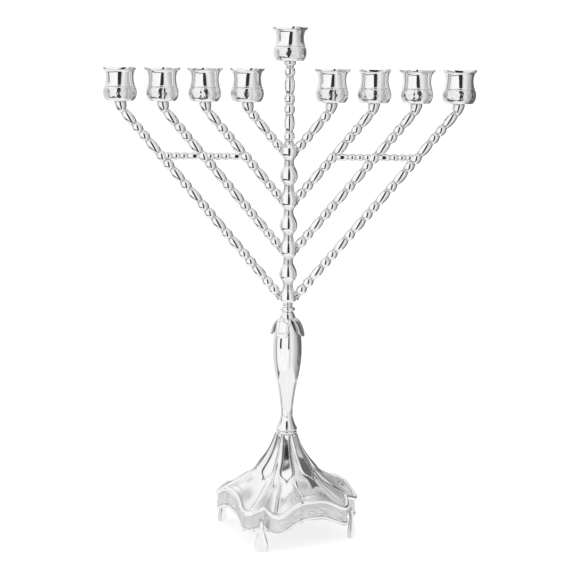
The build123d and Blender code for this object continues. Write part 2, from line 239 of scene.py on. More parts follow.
# ---- materials ----------------------------------------------------------------------------------
def node_tree(material):
    """Empty node tree of a material with its principled shader wired to the output."""
    material.use_nodes = True
    tree = material.node_tree
    tree.nodes.clear()
    shader = tree.nodes.new("ShaderNodeBsdfPrincipled")
    output = tree.nodes.new("ShaderNodeOutputMaterial")
    tree.links.new(shader.outputs["BSDF"], output.inputs["Surface"])
    return tree, shader


def noise(tree, scale, detail, squeeze=(1, 1, 1)):
    """Noise in object space; squeeze stretches it along an axis."""
    place = tree.nodes.new("ShaderNodeTexCoord")
    mapping = tree.nodes.new("ShaderNodeMapping")
    mapping.inputs["Scale"].default_value = squeeze
    texture = tree.nodes.new("ShaderNodeTexNoise")
    texture.inputs["Scale"].default_value = scale
    texture.inputs["Detail"].default_value = detail
    tree.links.new(place.outputs["Object"], mapping.inputs["Vector"])
    tree.links.new(mapping.outputs["Vector"], texture.inputs["Vector"])
    return texture.outputs["Fac"]


def ranged(tree, source, low, high, to_low, to_high):
    """Source mapped smoothly from one range to another."""
    node = tree.nodes.new("ShaderNodeMapRange")
    node.interpolation_type = "SMOOTHSTEP"
    for name, value in (("From Min", low), ("From Max", high), ("To Min", to_low), ("To Max", to_high)):
        node.inputs[name].default_value = value
    tree.links.new(source, node.inputs["Value"])
    return node.outputs["Result"]


def ranged_line(tree, source, low, high):
    """Source mapped in a straight line from a range to 0 to 1."""
    node = tree.nodes.new("ShaderNodeMapRange")
    node.inputs["From Min"].default_value = low
    node.inputs["From Max"].default_value = high
    tree.links.new(source, node.inputs["Value"])
    return node.outputs["Result"]


def math_node(tree, operation, first, second):
    """Result of a math node; second may be a number."""
    node = tree.nodes.new("ShaderNodeMath")
    node.operation = operation
    tree.links.new(first, node.inputs[0])
    if isinstance(second, (int, float)):
        node.inputs[1].default_value = second
    else:
        tree.links.new(second, node.inputs[1])
    return node.outputs["Value"]


def silver(name, roughness, shade_and_tarnish_share, blur, dimple=0.0):
    """Polished silver plate: faint cloudy colour, hairline scratches, and a colour darkened where the mesh
    attribute says: tarnish together with painted shade and painted dark reflection lines.

    A value of 1 is a dulled hollow, tarnish with painted shade; 3 an oxidised groove, painted near black
    together with painted shade and painted dark reflection. blur is the roughness that a hollow adds, dimple
    the strength of the punch marks in it.
    """
    material = bpy.data.materials.new(name)
    tree, shader = node_tree(material)
    shader.inputs["Metallic"].default_value = 1.0
    clouds = noise(tree, 60, 5)
    depth = tree.nodes.new("ShaderNodeAttribute")
    depth.attribute_name = "tarnish_and_shade"
    # painted shade and tarnish: the attribute, made patchy by clouds, mixes the silver colour towards near
    # black
    patchy_shade_and_tarnish = math_node(tree, "MULTIPLY", depth.outputs["Fac"], ranged(tree, clouds, 0.3, 0.7, 0.7, 1.0))
    shade_and_tarnish = math_node(tree, "MULTIPLY", patchy_shade_and_tarnish, shade_and_tarnish_share)
    hollow = math_node(tree, "MINIMUM", depth.outputs["Fac"], 1.0)
    colour = tree.nodes.new("ShaderNodeMix")
    colour.data_type = "RGBA"
    colour.inputs["A"].default_value = (0.925, 0.925, 0.922, 1)
    # near black of tarnish and of the painted shade and painted dark reflection lines
    colour.inputs["B"].default_value = (0.05, 0.045, 0.04, 1)
    tree.links.new(math_node(tree, "ADD", shade_and_tarnish, ranged(tree, clouds, 0.4, 0.8, 0.0, 0.03)),
                   colour.inputs["Factor"])
    tree.links.new(colour.outputs["Result"], shader.inputs["Base Color"])
    smear = noise(tree, 240, 4, (1, 1, 0.35))
    rough = math_node(tree, "ADD", ranged(tree, smear, 0.3, 0.75, roughness * 0.7, roughness * 1.5),
                      math_node(tree, "MULTIPLY", hollow, blur))
    tree.links.new(rough, shader.inputs["Roughness"])
    hairlines = noise(tree, 2600, 2, (1, 0.12, 1))
    bump = tree.nodes.new("ShaderNodeBump")
    bump.inputs["Strength"].default_value = 0.05
    bump.inputs["Distance"].default_value = 0.00002
    tree.links.new(hairlines, bump.inputs["Height"])
    if dimple:
        place = tree.nodes.new("ShaderNodeTexCoord")
        cells = tree.nodes.new("ShaderNodeTexVoronoi")
        cells.feature = "SMOOTH_F1"
        cells.inputs["Scale"].default_value = 600
        tree.links.new(place.outputs["Object"], cells.inputs["Vector"])
        hammered = tree.nodes.new("ShaderNodeBump")
        hammered.inputs["Strength"].default_value = dimple
        hammered.inputs["Distance"].default_value = 0.0004
        masked = math_node(tree, "MULTIPLY", cells.outputs["Distance"], hollow)
        tree.links.new(masked, hammered.inputs["Height"])
        tree.links.new(hammered.outputs["Normal"], bump.inputs["Normal"])
    tree.links.new(bump.outputs["Normal"], shader.inputs["Normal"])
    return material


def turned_steel(name):
    """Zinc-plated steel of screws, rod, nut and washer, with fine turning marks."""
    material = bpy.data.materials.new(name)
    tree, shader = node_tree(material)
    shader.inputs["Metallic"].default_value = 1.0
    marks = noise(tree, 900, 3, (0.2, 0.2, 3))
    shade = tree.nodes.new("ShaderNodeMix")
    shade.data_type = "RGBA"
    shade.inputs["A"].default_value = (0.50, 0.50, 0.51, 1)
    shade.inputs["B"].default_value = (0.72, 0.72, 0.73, 1)
    tree.links.new(marks, shade.inputs["Factor"])
    tree.links.new(shade.outputs["Result"], shader.inputs["Base Color"])
    tree.links.new(ranged(tree, marks, 0.3, 0.7, 0.28, 0.46), shader.inputs["Roughness"])
    bump = tree.nodes.new("ShaderNodeBump")
    bump.inputs["Strength"].default_value = 0.3
    bump.inputs["Distance"].default_value = 0.00003
    tree.links.new(marks, bump.inputs["Height"])
    tree.links.new(bump.outputs["Normal"], shader.inputs["Normal"])
    return material


POLISHED = silver("polished_silver", roughness=0.05, shade_and_tarnish_share=0.34, blur=0.14)
CHASED = silver("chased_silver", roughness=0.07, shade_and_tarnish_share=0.30, blur=0.2, dimple=0.14)
STEEL = turned_steel("plated_steel")


# ---- beaded rods --------------------------------------------------------------------------------
def bead_line(kinds, scale=1.0):
    """Outline (radius, z) of beads strung up from z = 0, its darkening (painted shade in the necks between
    beads, with tarnish), and the length.
    """
    outline, shade_and_tarnish = [], []
    z = 0.0
    for kind in kinds:
        length, radius = BEAD_SIZES[kind]
        sink = 1 - (BEAD_NECK_R / radius) ** 2
        across = np.sin(np.linspace(-1, 1, BEAD_ROWS) * pi / 2)
        bulge = np.sqrt(1 - sink * across ** 2)
        for share, height in zip(bulge, across):
            outline.append((radius * share * scale, (z + length * (1 + 0.94 * height) / 2) * scale))
            # painted shade: darkest at each neck between two beads, where the crevice lies
            shade_and_tarnish.append(hill((share - BEAD_NECK_R / radius) / (1 - BEAD_NECK_R / radius), 0.3))
        z += length
    return np.array(outline), np.array(shade_and_tarnish), z * scale


def line_up(start, lean):
    """Matrix that carries Z onto a line leaning from vertical towards +X, starting at a point."""
    return Matrix.Translation(start) @ Matrix.Rotation(lean, 4, "Y")


def branch_start(pair, side, length):
    """Lower end of a branch's beads."""
    low = length + BEAD_GAP
    x = side * (pair * CUP_PITCH - low * sin(BRANCH_LEAN))
    return Vector((x, 0, CUP_SEAT_Z - NECK_DROP - low * cos(BRANCH_LEAN)))


def bell_rings(seat, end, lean):
    """Bent bell from a cup's seat down to the head of a leaning rod."""
    steps = curve_through([         # radius, share of the way down
        (3.0, 0.0), (3.0, 0.0), (3.95, 0.03), (4.3, 0.12), (4.25, 0.3), (3.95, 0.55), (3.6, 0.78),
        (3.0, 0.92), (BEAD_NECK_R, 1.0),
    ], 4)
    rings = []
    for radius, t in steps:
        middle = seat.lerp(end, t)
        middle.x -= (end.x - seat.x) * 0.16 * sin(pi * t)
        turn = Matrix.Rotation(lean * t, 4, "Y")
        rings.append(moved(about_z(radius, full_turn(BEAD_COLUMNS), 0), Matrix.Translation(middle) @ turn))
    return np.array(rings)


def make_branch(number):
    """Branch of one cup: beads, bell and the tenon that enters the junction ball."""
    pair = PAIRS + 1 - number if number <= PAIRS else number - PAIRS
    side = -1 if number <= PAIRS else 1
    outline, shade_and_tarnish, length = bead_line(BEADS[pair][::-1])
    tenon = curve_through([
        (BEAD_NECK_R + 0.9, -TENON_LENGTH), (BEAD_NECK_R + 0.25, -2.2), (BEAD_NECK_R, 0),
    ], 4)
    outline = np.vstack([tenon[:-1], outline])
    # painted shade: the tenon inside the junction ball is dark; the bell gets a light even darkening
    shade_and_tarnish = np.concatenate([np.ones(len(tenon) - 1), shade_and_tarnish])
    start = branch_start(pair, side, length)
    place = line_up(start, side * BRANCH_LEAN)
    beads = moved(lathe(outline, BEAD_COLUMNS), place)
    seat = Vector((side * pair * CUP_PITCH, 0, CUP_SEAT_Z))
    head = place @ Vector((0, 0, length))
    bell = bell_rings(seat, head, side * BRANCH_LEAN)[::-1]
    tarnish_and_painted_shade = np.concatenate([shade_and_tarnish, np.full(len(bell), 0.25)])
    rings = np.concatenate([beads, bell])
    piece = skin(f"branch_{number}_beads", rings, POLISHED, tarnish_and_painted_shade)
    stand_in_for(piece, f"branch_{number}")


def make_tie_bar(side, inner, where):
    """Slim beaded bar between two neighbouring branches."""
    name = f"tie_bar_{'left' if side < 0 else 'right'}_{where}"
    z = centre(name).z
    drop = CUP_SEAT_Z - NECK_DROP - z
    x_out = side * ((inner + 1) * CUP_PITCH - drop * CUP_PITCH / BRANCH_RISE)
    outline, shade_and_tarnish, length = bead_line(BAR_BEADS, BAR_SCALE)
    margin = (CUP_PITCH - length) / 2
    neck = BEAD_NECK_R * BAR_SCALE
    outline[:, 1] += margin
    outline = np.vstack([[neck, BAR_END_GAP], outline, [neck, CUP_PITCH - BAR_END_GAP]])
    # painted shade at both ends, where the bar meets the branches
    shade_and_tarnish = np.concatenate([[1], shade_and_tarnish, [1]])
    place = line_up(Vector((x_out, 0, z)), radians(-90) * side)
    piece = skin(f"{name}_beads", moved(lathe(outline, BEAD_COLUMNS), place), POLISHED, shade_and_tarnish)
    stand_in_for(piece, name)


# ---- column -------------------------------------------------------------------------------------
def make_ball(name, z, narrow):
    """Turned ball of the column with its half necks; narrow is where its upper neck starts."""
    neck, widest = BALL_NECK_R, BALL_R
    down, up = z - bottom(name), top(name) - z
    profile = curve_through([
        (neck, z - down), (neck + 0.1, z - down * 0.9), (4.2, z - down * 0.76), (5.5, z - down * 0.56),
        (6.3, z - down * 0.33), (widest, z - down * 0.14), (6.1, z + up * 0.15), (5.15, z + up * 0.42),
        (4.25, z + up * 0.62), (neck + 0.3, z + up * narrow), (neck, z + up * 0.93), (neck, z + up),
    ], 7)
    # painted shade in the necks above and below the ball, with tarnish
    shade_and_tarnish = 0.8 * hill((profile[:, 0] - neck) / (widest - neck), 0.25)
    piece = skin(f"{name}_turned", lathe(profile), POLISHED, shade_and_tarnish)
    stand_in_for(piece, name)


def make_column():
    """All balls, the knop under them and the beaded shaft above."""
    for number in range(2 * PAIRS - 1):
        z = TOP_JUNCTION_Z - number * BRANCH_RISE / 2
        name = f"{'junction' if number % 2 == 0 else 'spacer'}_ball_{number // 2 + 1}"
        make_ball(name, z, 0.80 if number % 2 == 0 else 0.72)
    low, high = bottom("neck_knop"), top("neck_knop")
    rise = high - low
    knop = curve_through([
        (3.9, low + 0.04), (4.2, low + 0.06 * rise), (5.0, low + 0.18 * rise), (5.45, low + 0.42 * rise),
        (4.9, low + 0.70 * rise), (3.7, low + 0.86 * rise), (3.35, high),
    ], 6)
    piece = skin("neck_knop_turned", lathe(knop), POLISHED, 0.15)
    stand_in_for(piece, "neck_knop")

    z0 = bottom("middle_shaft")
    outline, shade_and_tarnish, length = bead_line(SHAFT_BEADS)
    outline[:, 0] *= SHAFT_SCALE
    outline[:, 1] += z0
    cap_z, rise = z0 + length, SHAMASH_SEAT_Z - z0 - length
    cap = curve_through([
        (BEAD_NECK_R, cap_z), (3.3, cap_z + 0.12 * rise), (4.2, cap_z + 0.45 * rise),
        (4.35, cap_z + 0.8 * rise), (4.1, SHAMASH_SEAT_Z), (4.1, SHAMASH_SEAT_Z), (3.0, SHAMASH_SEAT_Z),
    ], 4)
    foot = np.array([[3.35, z0], [2.6, z0 + 0.3]])
    outline = np.vstack([foot, outline, cap])
    # painted shade where the shaft stands on the ball below and in the necks between its beads; light even
    # darkening on the cap
    shade_and_tarnish = np.concatenate([[0.8, 1.0], shade_and_tarnish, 0.2 * np.ones(len(cap))])
    piece = skin("middle_shaft_beads", lathe(outline, SHAFT_COLUMNS), POLISHED, shade_and_tarnish)
    stand_in_for(piece, "middle_shaft")


# ---- chased flowers -----------------------------------------------------------------------------
def flower(along, up, size):
    """Relief, 0 to 1, of a five-petalled flower of a given radius about (0, 0)."""
    reach = np.hypot(along, up) / size
    turn = np.arctan2(up, along)
    petals = hill(reach - 0.62, 0.26) * (0.62 + 0.38 * np.cos(5 * turn))
    return petals + 0.9 * hill(reach, 0.2)


def chasing(along, up, repeat, height):
    """Chased band: a row of flowers with scrolling stems and leaves between them.

    along runs round the piece and repeats every `repeat`; up is measured from the band's middle.
    """
    across = (along / repeat + 0.5) % 1 * repeat - repeat / 2
    blossom = flower(across, up, height * 0.42)
    stem_up = 0.26 * height * np.sin(2 * pi * along / repeat + pi / 2)
    beyond = np.abs(across) - repeat * 0.30
    stem = hill(up - stem_up, 0.09 * height) * soft_step(beyond, -0.06 * repeat, 0.02 * repeat)
    leaf_row = 0.0
    for share, lift in ((0.5, 0.30), (0.5, -0.30), (0.36, -0.36), (0.36, 0.38)):
        away = np.abs(across) - share * repeat
        leaf_row = leaf_row + hill(away, 0.11 * repeat) * hill(up - lift * height, 0.10 * height)
    return np.clip(blossom + 0.7 * stem + 0.75 * leaf_row, 0, 1.2)


# ---- cups ---------------------------------------------------------------------------------------
# height, mean radius, lobing of the bowl, pointing of the rim, rise of the rim's points
CUP_OUTSIDE = [
    (0.0, 9.2, 0.03, 0.0, 0.0), (0.4, 9.85, 0.04, 0.0, 0.0), (2.3, 10.95, 0.06, 0.0, 0.0),
    (5.4, 11.65, 0.06, 0.0, 0.0), (8.2, 11.35, 0.05, 0.0, 0.0), (10.4, 10.65, 0.02, 0.0, 0.0),
    (13.4, 9.95, 0.0, 0.0, 0.0), (16.4, 9.75, 0.0, 0.01, 0.0), (19.2, 10.15, 0.0, 0.03, 0.1),
    (20.7, 10.85, 0.0, 0.06, 0.2), (21.6, 11.65, 0.0, 0.12, 0.4), (21.6, 11.65, 0.0, 0.12, 0.4),
    (22.3, 11.85, 0.0, 0.13, 0.5), (23.0, 11.9, 0.0, 0.13, 0.5),
]
CUP_LIP = [(23.0, 11.9, 0.0, 0.13, 0.5), (23.2, 11.8, 0.0, 0.13, 0.5), (23.15, 11.45, 0.0, 0.12, 0.5)]
CUP_INSIDE = [
    (23.15, 11.45, 0.0, 0.12, 0.5), (22.2, 10.5, 0.0, 0.08, 0.3), (20.2, 9.45, 0.0, 0.03, 0.1),
    (17.6, 8.55, 0.0, 0.01, 0.0), (15.4, 8.1, 0.0, 0.0, 0.0), (12.0, 8.0, 0.0, 0.0, 0.0),
    (5.6, 8.0, 0.0, 0.0, 0.0), (4.75, 7.6, 0.0, 0.0, 0.0), (4.5, 6.6, 0.0, 0.0, 0.0),
    (4.5, 3.05, 0.0, 0.0, 0.0), (4.5, 3.05, 0.0, 0.0, 0.0), (2.3, 3.0, 0.0, 0.0, 0.0),
    (2.3, 3.0, 0.0, 0.0, 0.0), (2.3, 1.6, 0.0, 0.0, 0.0), (2.3, 1.6, 0.0, 0.0, 0.0),
    (0.05, 1.6, 0.0, 0.0, 0.0), (0.05, 1.6, 0.0, 0.0, 0.0), (0.0, 8.7, 0.03, 0.0, 0.0),
]
CUP_BOWL_R = 11.6
CUP_BAND_LOW, CUP_BAND_HIGH = 0.9, 9.4              # the chased band round the bowl
CUP_LINE_Z = 9.7                # engraved line above the band
CUP_RIM_Z = 21.6                # crease under the rim
CUP_FLOWERS = 8


def cup_rings():
    """Rings of one cup about Z with its seat at height 0, and its darkening: tarnish together with painted
    shade in the chased hollows, the lines and deep inside.
    """
    outside = curve_through(CUP_OUTSIDE, 8)
    levels = np.vstack([outside, curve_through(CUP_LIP, 4)[1:], curve_through(CUP_INSIDE, 3)[1:]])
    z, mean, lobe, point, rise = levels.T[:, :, None]
    outer = (np.arange(len(levels)) < len(outside))[:, None]
    angle = full_turn(CUP_COLUMNS)
    corner = np.abs(np.cos(2 * angle)) ** 3
    radius = mean * (1 + lobe * (np.abs(np.sin(2 * angle)) - 0.64) + point * (corner - 0.42))
    height = z + rise * (corner - 0.6)

    starts = soft_step(z, CUP_BAND_LOW, CUP_BAND_LOW + 0.9)
    ends = soft_step(z, CUP_BAND_HIGH - 0.7, CUP_BAND_HIGH)
    band = outer * starts * (1 - ends)
    up = z - (CUP_BAND_LOW + CUP_BAND_HIGH) / 2
    repeat = 2 * pi * CUP_BOWL_R / CUP_FLOWERS
    relief = chasing(CUP_BOWL_R * angle, up, repeat, CUP_BAND_HIGH - CUP_BAND_LOW)
    line = hill(z - CUP_LINE_Z, 0.25)
    radius = radius + band * (0.13 * relief - 0.06)
    radius = radius + outer * (0.30 * hill(z - CUP_LINE_Z - 0.6, 0.28) - 0.28 * line)

    # darkening painted into the colour: tarnish with painted shade in the engraved line, the crease under the
    # rim and the hollows between the chased flowers, and painted shade deep inside the cup
    outer_tarnish_and_shade = 0.8 * line + hill(z - CUP_RIM_Z, 0.25)
    tarnish_and_shade = 0.55 * band * (1 - 0.9 * np.clip(relief, 0, 1)) + outer * outer_tarnish_and_shade
    inner_tarnish_and_shade = 0.5 * ~outer * soft_step(-mean, -10.0, -7.0)
    return about_z(radius, angle, height), tarnish_and_shade + inner_tarnish_and_shade


def make_cups():
    """Nine cups, each at its own turn on its seat."""
    rings, tarnish_and_shade = cup_rings()
    for node, turn in zip(SIDE_CUPS + ["shamash_cup"], CUP_TURNS + (SHAMASH_TURN,)):
        middle = centre(node)
        seat = Matrix.Translation((round(middle.x, 2), 0, bottom(node)))
        place = seat @ Matrix.Rotation(radians(turn), 4, "Z")
        piece = skin(f"{node}_tulip", moved(rings, place), CHASED, tarnish_and_shade, closed=False)
        stand_in_for(piece, node)


# ---- stem ---------------------------------------------------------------------------------------
FLUTE_HALF = 4.6                # half width of the hollow under each petal
FLUTE_DEPTH = 1.45


def make_vase():
    """Tapering vase with a soft hollow running down from under each petal."""
    low, high = bottom("stem_vase"), top("stem_vase")
    profile = curve_through([
        (4.2, low), (4.2, low), (4.35, low + 0.5), (4.5, low + 4.5), (5.05, low + 9.6), (5.7, low + 14.6),
        (6.5, low + 19.7), (7.45, low + 24.9), (8.5, low + 29.9), (9.45, low + 35), (10.15, low + 40.5),
        (10.55, low + 47.5), (10.4, low + 54), (9.8, low + 59.5), (8.5, low + 65), (5.9, high),
    ], 5)
    angle = full_turn(2 * LATHE_COLUMNS)
    radius, z = profile[:, :1], profile[:, 1:]
    off = (angle - BASE_TURN + pi / 4) % (pi / 2) - pi / 4
    hollow = np.cos(np.clip(off * radius / FLUTE_HALF, -1, 1) * pi / 2) ** 2
    share = soft_step(z, low + 35, low + 49) * (1 - 0.5 * soft_step(z, high - 12, high))
    rings = about_z(radius - FLUTE_DEPTH * share * hollow, angle, z)
    # painted shade at the vase's foot, where it meets the collar
    piece = skin("stem_vase_fluted", rings, POLISHED, 0.25 * hill(profile[:, 1] - low, 2.5))
    stand_in_for(piece, "stem_vase")


def make_collar():
    """Flared collar and the disc it stands on."""
    low, high = bottom("stem_collar"), top("stem_collar")
    collar = curve_through([
        (6.4, low), (6.4, low), (7.6, low + 0.1), (7.9, low + 0.6), (7.7, low + 1.3), (7.0, low + 2.4),
        (6.3, low + 3.9), (5.5, low + 6.0), (4.9, low + 8.0), (4.6, low + 9.2), (4.6, low + 9.6), (4.4, high),
    ], 4)
    # painted shade at the collar's foot, where it meets the ring
    piece = skin("stem_collar_flared", lathe(collar), POLISHED, 0.5 * hill(collar[:, 1] - low, 0.4))
    stand_in_for(piece, "stem_collar")
    low, high = bottom("collar_ring"), top("collar_ring")
    ring = curve_through([
        (6.2, low), (6.2, low), (7.0, low + 0.05), (7.5, low + 0.5), (7.6, low + 1.2), (7.35, low + 1.9),
        (6.8, high - 0.1), (6.2, high),
    ], 4)
    # light even darkening, with painted shade at the ring's top under the collar
    piece = skin("collar_ring_rounded", lathe(ring), POLISHED, 0.3 + 0.5 * hill(ring[:, 1] - high, 0.4))
    stand_in_for(piece, "collar_ring")


PETAL_SPINE = [(4.9, 10.2), (6.6, 9.3), (8.6, 7.3), (10.0, 4.7), (10.9, 2.0), (11.6, -1.2), (12.1, -3.4)]
PETAL_HALF = 5.4                # half width of a petal
PETAL_THICK = 0.8


def petal_rings(turn):
    """Closed rings of one drooping petal, from its root to its rounded, curled tip."""
    spine = curve_through([(r, up + bottom("leaf_calyx") + 2.6) for r, up in PETAL_SPINE], 7)
    along = np.linspace(0, 1, len(spine))
    width = PETAL_HALF * np.clip(along * 4.0 + 0.42, 0, 1) ** 0.6 * np.sqrt(np.clip(1 - along ** 5, 0.01, 1))
    across = np.linspace(-1, 1, 41)
    beside = np.abs(across)
    rings = []
    for (radius, z), half, t in zip(spine, width, along):
        border = 0.30 * soft_step(beside, 0.62, 0.74) * (1 - soft_step(beside, 0.86, 1.0))
        tip = 0.30 * hill(t - 0.86, 0.05) * (1 - soft_step(beside, 0.7, 0.9))
        bow = 0.5 * across ** 2 * t
        angle = turn + across * half / max(radius, 5.5)
        outer = radius + np.maximum(border, tip) + bow
        inner = (radius - PETAL_THICK + bow)[::-1]
        rings.append(np.concatenate([about_z(outer, angle, z), about_z(inner, angle[::-1], z - 0.15)]))
    along = along[:, None]
    # painted shade and tarnish: dark in the groove inside each border and the line across the tip, darker at
    # the edges, and painted shade on the underside over the vase
    groove = hill(beside - 0.58, 0.07) * (1 - soft_step(along, 0.75, 0.8))
    end = hill(along - 0.78, 0.03) * (1 - soft_step(beside, 0.55, 0.65))
    tarnish_and_painted_shade = np.maximum(1.2 * np.maximum(groove, end), soft_step(beside, 0.93, 1.0))
    return np.array(rings), np.concatenate([tarnish_and_painted_shade, np.full_like(tarnish_and_painted_shade, 0.5)], axis=1)


def make_calyx():
    """Small bell-shaped bulb with four bordered petals folding down over the vase."""
    low, high = top("stem_vase"), top("leaf_calyx")
    bulb = curve_through([
        (4.6, low), (5.6, low + 0.6), (5.85, low + 1.6), (5.6, low + 2.8), (5.2, low + 3.9), (4.7, low + 5.0),
        (4.25, high - 0.5), (4.0, high),
    ], 5)
    parts = [skin("leaf_calyx_bulb", lathe(bulb), POLISHED, 0.2)]
    for corner in range(4):
        rings, tarnish_and_painted_shade = petal_rings(BASE_TURN + corner * pi / 2)
        parts.append(skin(f"leaf_calyx_petal_{corner + 1}", rings, POLISHED, tarnish_and_painted_shade))
    for part in parts:
        stand_in_for(part, "leaf_calyx")


# ---- base ---------------------------------------------------------------------------------------
# radius, height of the dome through a corner and half way between two corners
CORNER_DRAPE = curve_through([(7.6, 73.0), (9, 69.6), (11.4, 63.6), (15.2, 56.4), (22.4, 46.0), (31.8, 37.6),
                              (40.5, 32.2), (48.2, 28.2), (54, 25.8)], 8)
SIDE_DRAPE = curve_through([(7.6, 73.0), (8.9, 68.6), (12, 61.3), (15.8, 54.9), (20.4, 49), (25.6, 44.5),
                            (31, 41.2), (37.2, 38.6), (42.5, 37.0), (54, 35)], 8)
DOME_TOP_R = 7.6
ROD_HOLE_R = 2.3
ROLL_R = 1.9                    # the rolled band round the edge
APRON_INSET = 1.5
APRON_FLOWERS = 28
SHELL = 1.6
HOLLOW_TOP_Z = 65
# darkening of the hollow inside the base: painted shade, with tarnish
INSIDE_TARNISH_AND_SHADE = 0.75
TONGUE_AT = radians(21)         # a sunken tongue lies this far to each side of every corner
TONGUE = curve_through([(7, 2.3), (11, 2.7), (16, 3.7), (19.5, 4.7), (21.5, 4.6), (22.8, 3.5), (23.6, 2.0),
                        (24.6, 1.0), (26.0, 0.3), (27.5, -1.5)], 5)     # radius, half width
# radius, and how far each of a corner's two ridges has parted from its middle
FORK = curve_through([(7, 0.9), (16, 1.3), (22, 2.1), (30, 4.2), (38, 5.9), (50, 8.8)], 5)
PANEL_AT, PANEL_R = radians(28), 39.5             # chased panel near the rim, beside every corner's ridges
BUD_R = 29.5                    # small bud half way between two corners


def drape_height(radius, corner):
    """Height of the plain dome; corner is 1 in the middle of a corner and 0 half way between two."""
    return corner * np.interp(radius, *CORNER_DRAPE.T) + (1 - corner) * np.interp(radius, *SIDE_DRAPE.T)


def drape_relief(radius, off):
    """Folds of the dome as (relief outwards, darkening: tarnish with painted shade and painted dark
    reflection lines); off is the angle from the nearest corner.
    """
    beside = np.abs(off)
    side = radius * np.sin(beside)

    across = radius * np.sin(beside - TONGUE_AT)
    inward = np.interp(radius, *TONGUE.T) - np.abs(across)
    sunk = soft_step(inward, 0.1, 1.1)
    depth = 1.1 - 0.4 * soft_step(radius, 8.5, 18)
    facet = soft_step(inward, -1.2, -0.2) * (across ** 2 / (2 * radius) + 0.25)
    lift = facet - sunk * depth
    # painted dark outline round each sunken tongue, standing for the dark it reflects, with tarnish
    shade_lines_and_tarnish = 3.2 * hill(inward - 0.45, 0.55)

    fork = np.interp(radius, *FORK.T)
    parted = soft_step(radius, 20, 27)
    ridge = hill(side - fork, 0.9 + 0.5 * parted) * soft_step(radius, 12, 22)
    lift = lift + 0.75 * ridge * (1 - 0.4 * soft_step(radius, 42, 49))
    between = parted * (1 - soft_step(side, 0.3 * fork, 0.9 * fork))
    lift = lift - 0.7 * between
    # painted shade in the hollow between a corner's two ridges
    shade_lines_and_tarnish = shade_lines_and_tarnish + 1.5 * between * soft_step(radius, 28, 40)
    line = hill(side - fork - 2.3, 0.38) * soft_step(radius, 25, 28) * (1 - soft_step(radius, 46, 49))
    lift = lift - 0.25 * line
    # dark engraved line beside the ridges: tarnish with painted shade
    shade_lines_and_tarnish = shade_lines_and_tarnish + 1.3 * line

    fold_at = radians(34.5) + radians(4) * soft_step(radius, 27, 38)
    from_fold = radius * np.sin(beside - fold_at)
    fold = hill(from_fold, 0.7) * soft_step(radius, 24, 27) * (1 - soft_step(radius, 38, 42))
    lift = lift + 0.35 * fold
    # painted shade along the side of each fold away from the corner
    shade_lines_and_tarnish = shade_lines_and_tarnish + 0.8 * hill(from_fold - 0.7, 0.35) * (fold > 0.02) * soft_step(radius, 25, 28)

    middle = pi / 4 - beside
    valley = hill(middle, radians(10)) * soft_step(radius, 22, 28) * (1 - soft_step(radius, 34, 43))
    lift = lift - 0.8 * valley
    along, up = radius * np.sin(beside - PANEL_AT), radius - PANEL_R
    panel = hill(np.hypot(along / 6.0, up / 6.5) ** 2, 0.9)
    lift = lift + 0.35 * panel * flower(along, up, 4.6)
    along, up = radius * middle, radius - BUD_R
    bud = hill(np.hypot(along / 3.2, up / 3.0) ** 2, 0.9)
    lift = lift + 0.3 * bud * flower(along, up, 2.6)
    # painted shade with tarnish in the chased panels and buds
    shade_lines_and_tarnish = shade_lines_and_tarnish + 0.9 * panel + 0.8 * bud
    return lift, shade_lines_and_tarnish


